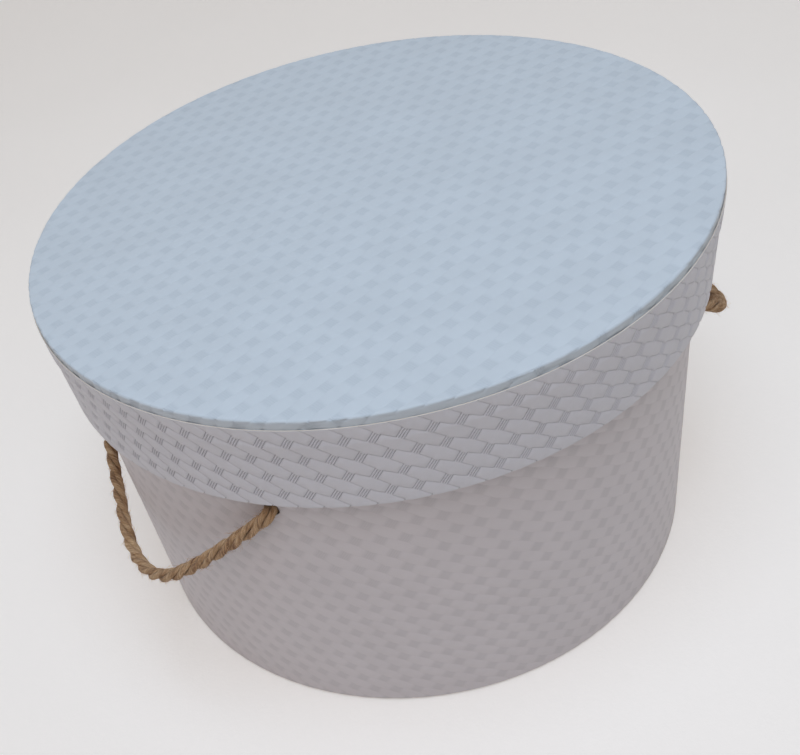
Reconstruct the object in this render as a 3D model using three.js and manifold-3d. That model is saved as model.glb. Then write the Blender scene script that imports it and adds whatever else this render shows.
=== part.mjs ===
// A round lidded box of board, covered with embossed paper and lined, with two rope handles.
// Millimetres, +Z up. The origin is the centre of the underside.
// The left handle faces -X and the right handle faces +X; the front is -Y.

import * as THREE from 'three';
import { mergeVertices } from 'three/addons/utils/BufferGeometryUtils.js';
import Module from 'manifold-3d';

const wasm = await Module();
wasm.setup();

// Outer sizes
const overallHeight = 187;
const skirtDepth = 45;
const baseRadius = 141.4;
const lidRunningGap = 2.8;
const lidFlare = 2;

// Stock
const wallBoard = 2;
const floorBoard = 2;
const hoopBoard = 2.6;
const topBoard = 2.4;
const paperGauge = 0.5;
const liningGauge = 0.3;
const glueFilm = 0.1;

// How far each paper laps over the next
const rimTurnIn = 16;
const mouthTurnIn = 14;
const floorTurnUnder = 14;
const topPaperLap = 12;
const topPaperRamp = 5;
const sidePaperSetback = 3.8;
const undersideMargin = 2.5;

// Rounding of folded paper, and the running and butting gaps
const foldRound = 0.9;
const rimRound = 1.8;
const lidSeatGap = 0.3;
const boardFitGap = 0.2;
const liningButtGap = 0.3;

// Rope, its holes and its two swinging loops
const ropeRadius = 3;
const ropeHoleClearance = 1;
const ropeHoleDrop = 9.5;
const ropeHoleSpread = THREE.MathUtils.degToRad(90);
const ropeRunningGap = 0.3;
const stubProud = 0.3;
const ropeCrownSwell = 0.25;
const loopDrop = 72;
const leftLean = THREE.MathUtils.degToRad(46.5);
const rightLean = THREE.MathUtils.degToRad(52);

// Overhand knot inside the wall: a trefoil opened at the top of one lobe, in shares of the rope's radius
const knotRingShare = 2.5;
const knotLobeShare = 1.17;
const knotDepthShare = 1.42;
const knotLeadShare = 1.12;
const knotOpening = THREE.MathUtils.degToRad(14);
const knotWallGap = 1;
const knotTail = 17;

// Facet counts
const roundSegments = 64;
const foldSteps = 3;
const ropeSides = 10;
const knotSides = 8;
const loopSteps = 24;
const knotTurnSteps = 32;
const knotSteps = 52;
const holeSides = 20;

// Heights of the layers, from the floor up and from the lid's top down
const underPaperTop = paperGauge;
const sidePaperBottom = underPaperTop + glueFilm;
const floorBoardBottom = sidePaperBottom + paperGauge + glueFilm;
const floorBoardTop = floorBoardBottom + floorBoard;
const floorLiningTop = floorBoardTop + glueFilm + liningGauge;
const mouthHeight = overallHeight - skirtDepth;
const ropeHoleHeight = mouthHeight - ropeHoleDrop;
const topBoardTop = overallHeight - paperGauge - glueFilm;
const topBoardBottom = topBoardTop - topBoard;
const topLiningTop = topBoardBottom - glueFilm;
const topLiningBottom = topLiningTop - liningGauge;
const rimTop = topLiningBottom - lidSeatGap;
const sidePaperTop = overallHeight - sidePaperSetback;
const topPaperEnd = overallHeight - topPaperLap;

// Radii of the layers of the base's wall, from outside to inside
const paperLayer = paperGauge + glueFilm;
const wallOuter = baseRadius - paperLayer;
const wallInner = wallOuter - wallBoard;
const wallLiningOuter = wallInner - glueFilm;
const wallLiningInner = wallLiningOuter - liningGauge;
const turnInInner = wallInner - paperLayer;

// Outer radii of the covered lid: its turned-in mouth runs clear of the base
const lidMouthRadius = baseRadius + lidRunningGap + hoopBoard + 2 * paperLayer;
const lidTopRadius = lidMouthRadius + lidFlare;

// Place of the rope where it leaves a hole and turns
const ropeCrownRadius = ropeRadius + ropeCrownSwell;
const pivotRadius = baseRadius + stubProud + ropeRunningGap + ropeCrownRadius;
const pivotHalfSpan = pivotRadius * Math.sin(ropeHoleSpread / 2);
const pivotChordRadius = pivotRadius * Math.cos(ropeHoleSpread / 2);

// Sizes of the knot
const knotRingRadius = knotRingShare * ropeRadius;
const knotLobeRadius = knotLobeShare * ropeRadius;
const knotDepthRadius = knotDepthShare * ropeRadius;
const knotLeadOffset = knotLeadShare * ropeRadius;

// Route of a loop between its two pivots: shares of the half span and of the drop
const loopRouteShares = [
  [1, 0], [0.935, 0.195], [0.857, 0.41], [0.77, 0.625], [0.672, 0.812], [0.545, 0.945],
  [0.39, 1], [0.224, 0.98], [0.058, 0.917], [-0.097, 0.847], [-0.258, 0.778], [-0.419, 0.708],
  [-0.575, 0.632], [-0.725, 0.535], [-0.857, 0.403], [-0.954, 0.222], [-1, 0],
];

// The hoop of the lid narrows from its top to its mouth
function hoopOuter(z) {
  const share = (z - mouthHeight) / skirtDepth;
  const atTop = lidTopRadius - 2 * paperLayer;
  const atMouth = lidMouthRadius - paperLayer;
  return atMouth + (atTop - atMouth) * share;
}

function hoopInner(z) {
  return hoopOuter(z) - hoopBoard;
}

// A quarter turn of a fold about (r, z), as profile points
function foldArc(r, z, radius, fromQuarter, toQuarter) {
  const points = [];
  for (let i = 0; i <= foldSteps; i += 1) {
    const quarter = fromQuarter + ((toQuarter - fromQuarter) * i) / foldSteps;
    const angle = (quarter * Math.PI) / 2;
    points.push([r + radius * Math.cos(angle), z + radius * Math.sin(angle)]);
  }
  return points;
}

// Merged, free of empty triangles, and facing out
function closedGeometry(source) {
  const bare = source.index ? source.toNonIndexed() : source.clone();
  for (const name of Object.keys(bare.attributes)) {
    if (name !== 'position') bare.deleteAttribute(name);
  }
  const merged = mergeVertices(bare);
  const position = merged.attributes.position;
  const index = merged.index.array;
  const kept = [];
  let volume = 0;
  const a = new THREE.Vector3();
  const b = new THREE.Vector3();
  const c = new THREE.Vector3();
  for (let i = 0; i < index.length; i += 3) {
    const [p, q, r] = [index[i], index[i + 1], index[i + 2]];
    if (p === q || q === r || r === p) continue;
    a.fromBufferAttribute(position, p);
    b.fromBufferAttribute(position, q);
    c.fromBufferAttribute(position, r);
    volume += a.dot(b.cross(c));
    kept.push(p, q, r);
  }
  if (volume < 0) kept.reverse();
  merged.setIndex(kept);
  merged.computeVertexNormals();
  return merged;
}

// A closed profile of [radius, height] pairs turned about the box's axis
function turned(profile) {
  const points = profile.map(([r, z]) => new THREE.Vector2(r, z));
  points.push(points[0].clone());
  const lathe = new THREE.LatheGeometry(points, roundSegments);
  lathe.rotateX(Math.PI / 2);
  return closedGeometry(lathe);
}

// A profile that starts and ends on the axis
function turnedFromAxis(profile) {
  const points = profile.map(([r, z]) => new THREE.Vector2(r, z));
  const lathe = new THREE.LatheGeometry(points, roundSegments);
  lathe.rotateX(Math.PI / 2);
  return closedGeometry(lathe);
}

function disc(radius, bottom, top) {
  return turnedFromAxis([[0, bottom], [radius, bottom], [radius, top], [0, top]]);
}

function ring(inner, outer, bottom, top) {
  return turned([[inner, bottom], [outer, bottom], [outer, top], [inner, top]]);
}

function toSolid(geometry) {
  const mesh = new wasm.Mesh({
    numProp: 3,
    vertProperties: new Float32Array(geometry.attributes.position.array),
    triVerts: new Uint32Array(geometry.index.array),
  });
  return new wasm.Manifold(mesh);
}

function toGeometry(solid) {
  const mesh = solid.getMesh();
  const geometry = new THREE.BufferGeometry();
  geometry.setAttribute('position', new THREE.BufferAttribute(mesh.vertProperties, 3));
  geometry.setIndex(new THREE.BufferAttribute(mesh.triVerts, 1));
  return closedGeometry(geometry);
}

// Azimuths of the four rope holes
const holeAzimuths = {
  left_front: Math.PI + ropeHoleSpread / 2,
  left_back: Math.PI - ropeHoleSpread / 2,
  right_front: -ropeHoleSpread / 2,
  right_back: ropeHoleSpread / 2,
};

// Rope holes cut through a layer of the base's wall
function drilled(geometry) {
  const cutLength = baseRadius - wallLiningInner + 2 * ropeRadius;
  const cutCentre = (baseRadius + wallLiningInner) / 2;
  let solid = toSolid(geometry);
  for (const azimuth of Object.values(holeAzimuths)) {
    const hole = new THREE.CylinderGeometry(
      ropeRadius + ropeHoleClearance,
      ropeRadius + ropeHoleClearance,
      cutLength,
      holeSides,
    );
    hole.rotateZ(Math.PI / 2);
    hole.translate(cutCentre, 0, 0);
    hole.rotateZ(azimuth);
    hole.translate(0, 0, ropeHoleHeight);
    solid = solid.subtract(toSolid(closedGeometry(hole)));
  }
  return toGeometry(solid);
}

function roundSection(radius, sides) {
  const section = new THREE.Shape();
  for (let i = 0; i < sides; i += 1) {
    const angle = (i / sides) * 2 * Math.PI;
    const x = radius * Math.cos(angle);
    const y = radius * Math.sin(angle);
    if (i === 0) section.moveTo(x, y);
    else section.lineTo(x, y);
  }
  section.closePath();
  return section;
}

function ropeAlong(points, sides, steps) {
  const path = new THREE.CatmullRomCurve3(points, false, 'centripetal');
  const tube = new THREE.ExtrudeGeometry(roundSection(ropeRadius, sides), {
    steps,
    bevelEnabled: false,
    extrudePath: path,
  });
  return closedGeometry(tube);
}

// Base: board wall and floor, covered outside and lined inside

function baseWallBoard() {
  const bottom = floorBoardBottom;
  const top = rimTop - paperLayer;
  return drilled(ring(wallInner, wallOuter, bottom, top));
}

function baseFloorBoard() {
  return disc(wallInner - boardFitGap, floorBoardBottom, floorBoardTop);
}

// One paper: under the floor's edge, up the wall, over the rim and down inside
function baseSidePaper() {
  const turnUnderEdge = baseRadius - floorTurnUnder;
  const turnInEnd = rimTop - rimTurnIn;
  return drilled(turned([
    [turnUnderEdge, sidePaperBottom],
    ...foldArc(baseRadius - foldRound, sidePaperBottom + foldRound, foldRound, -1, 0),
    ...foldArc(baseRadius - foldRound, rimTop - foldRound, foldRound, 0, 1),
    ...foldArc(turnInInner + foldRound, rimTop - foldRound, foldRound, 1, 2),
    [turnInInner, turnInEnd],
    [turnInInner + paperGauge, turnInEnd],
    [turnInInner + paperGauge, rimTop - paperGauge],
    [baseRadius - paperGauge, rimTop - paperGauge],
    [baseRadius - paperGauge, sidePaperBottom + paperGauge],
    [turnUnderEdge, sidePaperBottom + paperGauge],
  ]));
}

function baseUndersidePaper() {
  return disc(baseRadius - undersideMargin, 0, underPaperTop);
}

function baseWallLining() {
  const bottom = floorBoardTop + liningButtGap;
  const top = rimTop - rimTurnIn - liningButtGap;
  return drilled(ring(wallLiningInner, wallLiningOuter, bottom, top));
}

function baseFloorLining() {
  return disc(wallLiningInner - boardFitGap, floorBoardTop + glueFilm, floorLiningTop);
}

// Lid: board hoop and board top, covered outside and lined inside

function lidWallBoard() {
  const bottom = mouthHeight + paperLayer;
  const top = topBoardBottom - glueFilm;
  return turned([
    [hoopInner(bottom), bottom],
    [hoopOuter(bottom), bottom],
    [hoopOuter(top), top],
    [hoopInner(top), top],
  ]);
}

function lidTopBoard() {
  const edgeRound = rimRound - paperLayer;
  return turnedFromAxis([
    [0, topBoardBottom],
    [hoopOuter(topBoardBottom), topBoardBottom],
    ...foldArc(hoopOuter(topBoardTop) - edgeRound, topBoardTop - edgeRound, edgeRound, 0, 1),
    [0, topBoardTop],
  ]);
}

// The top paper is folded down over the hoop, under the side paper
function lidTopPaper() {
  const innerRound = rimRound - paperGauge;
  const arcRadius = hoopOuter(overallHeight) + paperLayer - rimRound;
  const arcHeight = overallHeight - rimRound;
  return turnedFromAxis([
    [0, topBoardTop + glueFilm],
    ...foldArc(arcRadius, arcHeight, innerRound, 1, 0),
    [hoopOuter(topPaperEnd) + glueFilm, topPaperEnd],
    [hoopOuter(topPaperEnd) + paperLayer, topPaperEnd],
    ...foldArc(arcRadius, arcHeight, rimRound, 0, 1),
    [0, overallHeight],
  ]);
}

// One paper: from just below the top, over the top paper's end, down and round the mouth
function lidSidePaper() {
  const rampEnd = topPaperEnd - topPaperRamp;
  const turnInEnd = mouthHeight + mouthTurnIn;
  const mouthInner = hoopInner(mouthHeight) - paperLayer;
  const foldFloor = mouthHeight + foldRound;
  return turned([
    ...foldArc(mouthInner + foldRound, foldFloor, foldRound, 2, 3),
    ...foldArc(hoopOuter(mouthHeight) + paperLayer - foldRound, foldFloor, foldRound, 3, 4),
    [hoopOuter(rampEnd) + paperLayer, rampEnd],
    [hoopOuter(topPaperEnd) + 2 * paperLayer, topPaperEnd],
    [hoopOuter(sidePaperTop) + 2 * paperLayer, sidePaperTop],
    [hoopOuter(sidePaperTop) + paperLayer + glueFilm, sidePaperTop],
    [hoopOuter(topPaperEnd) + paperLayer + glueFilm, topPaperEnd - glueFilm],
    [hoopOuter(rampEnd) + glueFilm, rampEnd],
    [hoopOuter(mouthHeight) + glueFilm, mouthHeight + paperGauge],
    [hoopInner(mouthHeight) - glueFilm, mouthHeight + paperGauge],
    [hoopInner(turnInEnd) - glueFilm, turnInEnd],
    [hoopInner(turnInEnd) - paperLayer, turnInEnd],
  ]);
}

function lidWallLining() {
  const bottom = mouthHeight + mouthTurnIn + liningButtGap;
  const top = topLiningBottom - liningButtGap;
  const layer = glueFilm + liningGauge;
  return turned([
    [hoopInner(bottom) - layer, bottom],
    [hoopInner(bottom) - glueFilm, bottom],
    [hoopInner(top) - glueFilm, top],
    [hoopInner(top) - layer, top],
  ]);
}

function lidTopLining() {
  return disc(hoopInner(topLiningTop) - glueFilm, topLiningBottom, topLiningTop);
}

// A handle's loop hangs from its two pivots in a plane that leans out by the angle lean
function handleRope(facing, lean) {
  const outward = new THREE.Vector3(facing, 0, 0);
  const along = new THREE.Vector3(0, facing, 0);
  const down = new THREE.Vector3(0, 0, -Math.cos(lean)).addScaledVector(outward, Math.sin(lean));
  const origin = new THREE.Vector3(0, 0, ropeHoleHeight).addScaledVector(outward, pivotChordRadius);
  const points = loopRouteShares.map(([across, drop]) => origin.clone()
    .addScaledVector(along, across * pivotHalfSpan)
    .addScaledVector(down, drop * loopDrop));
  let solid = toSolid(ropeAlong(points, ropeSides, loopSteps));
  for (const end of [points[0], points[points.length - 1]]) {
    const crown = new THREE.SphereGeometry(ropeCrownRadius, ropeSides, ropeSides / 2);
    crown.translate(end.x, end.y, end.z);
    solid = solid.add(toSolid(closedGeometry(crown)));
  }
  return toGeometry(solid);
}

// Centre line of a rope end: in through the wall, round an overhand knot, and out as a tail.
// Local x runs into the box, y along the wall and z up; the hole's outer mouth is the origin.
function knotRoute() {
  const knotReach = knotRingRadius + knotLobeRadius;
  const wall = baseRadius + stubProud - wallLiningInner;
  const centre = wall + knotWallGap + knotReach + ropeRadius;
  const place = (inward, sideways, up) => new THREE.Vector3(centre + inward, sideways, up - knotReach);
  const points = [
    new THREE.Vector3(0, 0, 0),
    new THREE.Vector3(wall / 2, 0, 0),
    new THREE.Vector3(wall + knotWallGap, 0, 0),
    place(-knotRingRadius, knotLeadOffset, knotReach),
    place(0, knotLeadOffset, knotReach),
  ];
  for (let i = 0; i <= knotTurnSteps; i += 1) {
    const t = knotOpening + ((2 * Math.PI - 2 * knotOpening) * i) / knotTurnSteps;
    const radius = knotRingRadius + knotLobeRadius * Math.cos(3 * t);
    points.push(place(
      radius * Math.sin(2 * t),
      knotDepthRadius * Math.sin(3 * t),
      radius * Math.cos(2 * t),
    ));
  }
  points.push(place(0, -knotLeadOffset, knotReach));
  points.push(place(knotTail / 3, -knotLeadOffset, knotReach));
  points.push(place(knotTail, -knotLeadOffset, knotReach - knotTail / 4));
  return points;
}

// Least clear distance between stretches of a rope that aren't neighbours along it
function leastSelfGap(points) {
  const samples = new THREE.CatmullRomCurve3(points, false, 'centripetal').getSpacedPoints(400);
  const step = samples[0].distanceTo(samples[1]);
  const skipped = Math.ceil((4 * ropeRadius) / step);
  let least = Infinity;
  for (let i = 0; i < samples.length; i += 1) {
    for (let j = i + skipped; j < samples.length; j += 1) {
      least = Math.min(least, samples[i].distanceTo(samples[j]));
    }
  }
  return least - 2 * ropeRadius;
}

function ropeKnot(azimuth, route) {
  const knot = ropeAlong(route, knotSides, knotSteps);
  knot.translate(-baseRadius - stubProud, 0, ropeHoleHeight);
  knot.rotateZ(azimuth + Math.PI);
  return knot;
}

// Materials
const whitePaper = new THREE.MeshStandardMaterial({ color: 0xe8e9ec, roughness: 0.62, metalness: 0 });
const lining = new THREE.MeshStandardMaterial({ color: 0xf1efe9, roughness: 0.8, metalness: 0 });
const greyBoard = new THREE.MeshStandardMaterial({ color: 0x8d8880, roughness: 0.9, metalness: 0 });
const juteRope = new THREE.MeshStandardMaterial({ color: 0xa9875c, roughness: 0.95, metalness: 0 });

const box = new THREE.Group();

function addPiece(parent, name, geometry, material) {
  const mesh = new THREE.Mesh(geometry, material.clone());
  mesh.name = name;
  parent.add(mesh);
}

const base = new THREE.Group();
addPiece(base, 'base_wall_board', baseWallBoard(), greyBoard);
addPiece(base, 'base_floor_board', baseFloorBoard(), greyBoard);
addPiece(base, 'base_side_paper', baseSidePaper(), whitePaper);
addPiece(base, 'base_underside_paper', baseUndersidePaper(), whitePaper);
addPiece(base, 'base_wall_lining', baseWallLining(), lining);
addPiece(base, 'base_floor_lining', baseFloorLining(), lining);

const route = knotRoute();
for (const [corner, azimuth] of Object.entries(holeAzimuths)) {
  addPiece(base, `${corner}_knot`, ropeKnot(azimuth, route), juteRope);
}
console.log(`knot: least gap to itself ${leastSelfGap(route).toFixed(2)} mm`);

const lid = new THREE.Group();
addPiece(lid, 'lid_wall_board', lidWallBoard(), greyBoard);
addPiece(lid, 'lid_top_board', lidTopBoard(), greyBoard);
addPiece(lid, 'lid_top_paper', lidTopPaper(), whitePaper);
addPiece(lid, 'lid_side_paper', lidSidePaper(), whitePaper);
addPiece(lid, 'lid_wall_lining', lidWallLining(), lining);
addPiece(lid, 'lid_top_lining', lidTopLining(), lining);

const handles = new THREE.Group();
addPiece(handles, 'left_handle_rope', handleRope(-1, leftLean), juteRope);
addPiece(handles, 'right_handle_rope', handleRope(1, rightLean), juteRope);

box.add(base, lid, handles);

export default box;
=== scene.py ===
"""Round lidded box of board under basket-weave embossed paper, with two jute rope handles."""

import math
from itertools import chain

import bpy
import numpy as np
from mathutils import Matrix, Vector


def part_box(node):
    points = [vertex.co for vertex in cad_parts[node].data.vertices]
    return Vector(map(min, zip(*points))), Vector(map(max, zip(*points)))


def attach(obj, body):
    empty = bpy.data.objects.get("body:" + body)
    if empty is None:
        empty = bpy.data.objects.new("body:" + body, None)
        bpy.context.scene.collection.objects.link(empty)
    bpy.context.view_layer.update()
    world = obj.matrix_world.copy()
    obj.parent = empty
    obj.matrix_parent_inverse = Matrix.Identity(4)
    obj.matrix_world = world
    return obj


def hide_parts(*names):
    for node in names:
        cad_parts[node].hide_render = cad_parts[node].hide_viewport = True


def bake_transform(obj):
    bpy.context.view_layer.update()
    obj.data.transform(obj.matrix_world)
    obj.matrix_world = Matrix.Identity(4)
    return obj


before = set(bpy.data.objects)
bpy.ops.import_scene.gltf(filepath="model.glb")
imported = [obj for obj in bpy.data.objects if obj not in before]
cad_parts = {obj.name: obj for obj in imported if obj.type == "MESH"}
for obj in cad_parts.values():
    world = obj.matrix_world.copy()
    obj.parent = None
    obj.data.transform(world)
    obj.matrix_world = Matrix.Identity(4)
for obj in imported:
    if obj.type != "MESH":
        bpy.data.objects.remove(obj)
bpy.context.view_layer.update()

# Lengths are in millimetres and become metres when a mesh is made
MM = 0.001
AXIS_AZIMUTH = math.radians(-22)

# Photograph: focal length and principal point in pixels of its 800 x 755 frame
PHOTO_WIDTH = 800
FOCAL_PIXELS = 997.8889
CENTRE_SHIFT_X = -83.9361
CENTRE_SHIFT_Y = 126.7661
CAMERA_BACK = 400.23
CAMERA_ABOVE_LID = 218.99
CAMERA_PITCH = 0.7947
CAMERA_YAW = -0.098
CAMERA_ROLL = -0.1826
SENSOR_WIDTH = 36

# Paper
PAPER = 0.5
GLUE = 0.1
PAPER_LAYER = PAPER + GLUE
FOLD_ROUND = 0.9
RIM_ROUND = 0.8
SEAM_LAP = 14
SEAM_RAMP = 4
SEAM_AZIMUTH = math.radians(100)
LINING = 0.3
LINING_CELL = 6
DISC_EASE = 0.12
ARC_STEPS = 6
TOP_LAP_RAMP = 5
TURN_UNDER = 14
RIM_TURN_IN = 16
MOUTH_TURN_IN = 14

# Basket weave: strips of long pads between groups of short threads, each strip half a period on.
# STRIP_PITCH lies between the three papers' own pitches, for the threads in the material
STRIP_PITCH = 5.35
PLAIT_PERIOD = 16.9
HALF_PERIOD = PLAIT_PERIOD / 2
THREAD_PITCH = 1
HATCH_HALF_WIDTH = 1.5
HATCH_HALF_LENGTH = 2.5
# The hollow round each hatch group, which only the painted shade draws: full out to the core, gone
# at the edge, along and across a strip
HOLLOW_CORE = (1.6, 2.1)
HOLLOW_EDGE = (3.6, 2.65)
PAD_BULGE = 0.27
PAD_SLOPE = 0.35
PAD_END_WIDTH = 0.22
CROWN = 0.035
CROWN_SLOPE = 0.5
GROOVE_DEPTH = 0.16
GROOVE_WIDTH = 0.19
GROOVE_FADE = 0.4
GROOVE_LEAST = 0.15
SHOULDER_DEPTH = 0.24
SHOULDER_WIDTH = 0.6
THREAD_DEPTH = 0.32
THREAD_SLOPE = 0.2

# Rope: the map of its fibres runs along the rope and FIBRE_MAP_ROUND times round each strand
ROPE_RADIUS = 3
ROPE_LAY = 31
STRAND_RADIUS = 0.475 * ROPE_RADIUS
STRAND_OFFSET = ROPE_RADIUS - STRAND_RADIUS
HOLE_RADIUS = 3.4
HOLE_HEIGHT = 132.5
HOLE_SPREAD = math.radians(90)
HOLE_AZIMUTHS = {
    "left_front": math.pi + HOLE_SPREAD / 2,
    "left_back": math.pi - HOLE_SPREAD / 2,
    "right_front": 2 * math.pi - HOLE_SPREAD / 2,
    "right_back": HOLE_SPREAD / 2,
}
PIVOT_RADIUS = 145.25
LOOP_DROP = 72
LEFT_LEAN = math.radians(46.5)
RIGHT_LEAN = math.radians(52)
ROPE_JOIN_RADIUS = 139.8
BEND_START = 2.6
BEND_END = 4.5
STRAND_SIDES = 18
STRAND_STEP = 0.55
YARN_RIDGES = 7
YARN_TURN = 7.5
FIBRE_MAP_ROUND = 8
FIBRE_MAP_SLANT = 0.45
FIBRE_MAP_SHIFT = 31
FRAY_LENGTH = 7
FRAY_SPREAD = 0.35
FRAY_THINNING = 0.25
LOOP_SEED = 7
KNOT_SEED = 40

# Loose fibres: how many, how far from the rope's centre line, and the steps in each
LOOP_FIBRES = 1300
KNOT_FIBRES = 60
FRAYED_FIBRES = 90
FIBRE_REACH = 5.2
FRAYED_REACH = 9
FIBRE_STEPS = 6

# Route of a loop between its pivots: shares of the half span and of the drop
LOOP_ROUTE_SHARES = [
    (1, 0), (0.935, 0.195), (0.857, 0.41), (0.77, 0.625), (0.672, 0.812), (0.545, 0.945),
    (0.39, 1), (0.224, 0.98), (0.058, 0.917), (-0.097, 0.847), (-0.258, 0.778), (-0.419, 0.708),
    (-0.575, 0.632), (-0.725, 0.535), (-0.857, 0.403), (-0.954, 0.222), (-1, 0),
]

# Overhand knot: shares of the rope's radius, and its own sizes
KNOT_RING = 2.5 * ROPE_RADIUS
KNOT_LOBE = 1.17 * ROPE_RADIUS
KNOT_DEPTH = 1.42 * ROPE_RADIUS
KNOT_LEAD = 1.12 * ROPE_RADIUS
KNOT_OPENING = math.radians(14)
KNOT_WALL_GAP = 1
KNOT_TAIL = 17
STUB_PROUD = 0.3


def frame_box(node):
    """Lowest and highest corner of a node of the frame, in millimetres."""
    low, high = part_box(node)
    return np.array(low) / MM, np.array(high) / MM


# Sizes read from the frame
top_low, top_high = frame_box("lid_top_paper")
side_low, side_high = frame_box("lid_side_paper")
hoop_high = frame_box("lid_wall_board")[1]
base_low, base_high = frame_box("base_side_paper")
LID_TOP = top_high[2]
TOP_PAPER_END = top_low[2]
LID_TOP_RADIUS = top_high[0]
SIDE_TOP = side_high[2]
MOUTH = side_low[2]
RIM_TOP = base_high[2]
BASE_RADIUS = base_high[0]
BASE_PAPER_LOW = base_low[2]
HOOP_BOARD = 2.6
WALL_BOARD = 2
HOOP_FLARE_SHARE = (LID_TOP_RADIUS - PAPER_LAYER - hoop_high[0]) / (LID_TOP - hoop_high[2])
WALL_INNER = BASE_RADIUS - PAPER_LAYER - WALL_BOARD
LINING_INNER = WALL_INNER - GLUE - LINING


def hoop_outer(z):
    """Outer radius of the lid's board hoop, which narrows towards its mouth."""
    return LID_TOP_RADIUS - PAPER_LAYER - HOOP_FLARE_SHARE * (LID_TOP - z)


def hoop_inner(z):
    return hoop_outer(z) - HOOP_BOARD


def unit(vectors):
    """Vectors in the same directions with a length of 1."""
    return vectors / np.linalg.norm(vectors, axis=-1, keepdims=True)


def stops_along(points):
    """How far along a line of points each one is."""
    return np.concatenate([[0], np.cumsum(np.linalg.norm(np.diff(points, axis=0), axis=1))])


def rotated(a, b, angle):
    return math.cos(angle) * a - math.sin(angle) * b, math.sin(angle) * a + math.cos(angle) * b


# Camera

def camera_axes():
    """Right, down and forward of the photograph's camera in the frame."""
    right, down, forward = Vector((1, 0, 0)), Vector((0, 0, -1)), Vector((0, 1, 0))
    down, forward = rotated(down, forward, CAMERA_PITCH)
    right, forward = rotated(right, forward, CAMERA_YAW)
    right, down = rotated(right, down, CAMERA_ROLL)
    turn = Matrix.Rotation(AXIS_AZIMUTH, 3, "Z")
    return turn @ right, turn @ down, turn @ forward


def make_camera():
    data = bpy.data.cameras.new("photo_camera")
    camera = bpy.data.objects.new("photo_camera", data)
    bpy.context.scene.collection.objects.link(camera)
    right, down, forward = camera_axes()
    place = Matrix.Rotation(AXIS_AZIMUTH, 3, "Z") @ Vector((0, -CAMERA_BACK, CAMERA_ABOVE_LID))
    place.z += LID_TOP
    rotation = Matrix((right, -down, -forward)).transposed()
    camera.matrix_world = Matrix.Translation(place * MM) @ rotation.to_4x4()
    data.sensor_width = SENSOR_WIDTH
    data.lens = FOCAL_PIXELS / PHOTO_WIDTH * SENSOR_WIDTH
    data.shift_x = -CENTRE_SHIFT_X / PHOTO_WIDTH
    data.shift_y = CENTRE_SHIFT_Y / PHOTO_WIDTH
    data.clip_start = 0.01
    bpy.context.scene.camera = camera


# Shader nodes

class NodeTree:
    """Short calls for building a material's nodes."""

    def __init__(self, name):
        self.material = bpy.data.materials.new(name)
        self.material.use_nodes = True
        self.nodes = self.material.node_tree.nodes
        self.links = self.material.node_tree.links
        self.shader = self.nodes["Principled BSDF"]

    def add(self, kind, **settings):
        node = self.nodes.new(kind)
        for name, value in settings.items():
            setattr(node, name, value)
        return node

    def feed(self, socket, value):
        if isinstance(value, bpy.types.NodeSocket):
            self.links.new(value, socket)
        else:
            socket.default_value = value

    def math(self, operation, a, b=0.0, c=0.0):
        node = self.add("ShaderNodeMath", operation=operation)
        for socket, value in zip(node.inputs, (a, b, c)):
            self.feed(socket, value)
        return node.outputs[0]

    def ramp(self, value, low, high, to_low=0.0, to_high=1.0):
        node = self.add("ShaderNodeMapRange", interpolation_type="SMOOTHSTEP")
        names = "Value", "From Min", "From Max", "To Min", "To Max"
        for name, given in zip(names, (value, low, high, to_low, to_high)):
            self.feed(node.inputs[name], given)
        return node.outputs[0]

    def mix(self, share, a, b):
        node = self.add("ShaderNodeMix", data_type="RGBA")
        self.feed(node.inputs[0], share)
        for socket, value in ((node.inputs[6], a), (node.inputs[7], b)):
            self.feed(socket, value if isinstance(value, bpy.types.NodeSocket) else (*value, 1))
        return node.outputs[2]

    def noise(self, scale, detail=4, roughness=0.55, where=None, stretch=None):
        node = self.add("ShaderNodeTexNoise")
        for name, value in (("Scale", scale), ("Detail", detail), ("Roughness", roughness)):
            node.inputs[name].default_value = value
        if where is None:
            where = self.add("ShaderNodeTexCoord").outputs["Object"]
        if stretch is not None:
            mapping = self.add("ShaderNodeMapping")
            self.links.new(where, mapping.inputs["Vector"])
            mapping.inputs["Scale"].default_value = stretch
            where = mapping.outputs["Vector"]
        self.links.new(where, node.inputs["Vector"])
        return node.outputs["Fac"]

    def bump(self, height, distance):
        node = self.add("ShaderNodeBump")
        node.inputs["Strength"].default_value = 1
        node.inputs["Distance"].default_value = distance
        self.links.new(height, node.inputs["Height"])
        return node.outputs["Normal"]

    def finish(self, colour, roughness, normal, specular):
        self.feed(self.shader.inputs["Base Color"], colour)
        self.feed(self.shader.inputs["Roughness"], roughness)
        self.shader.inputs["Specular IOR Level"].default_value = specular
        self.links.new(normal, self.shader.inputs["Normal"])
        return self.material


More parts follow.
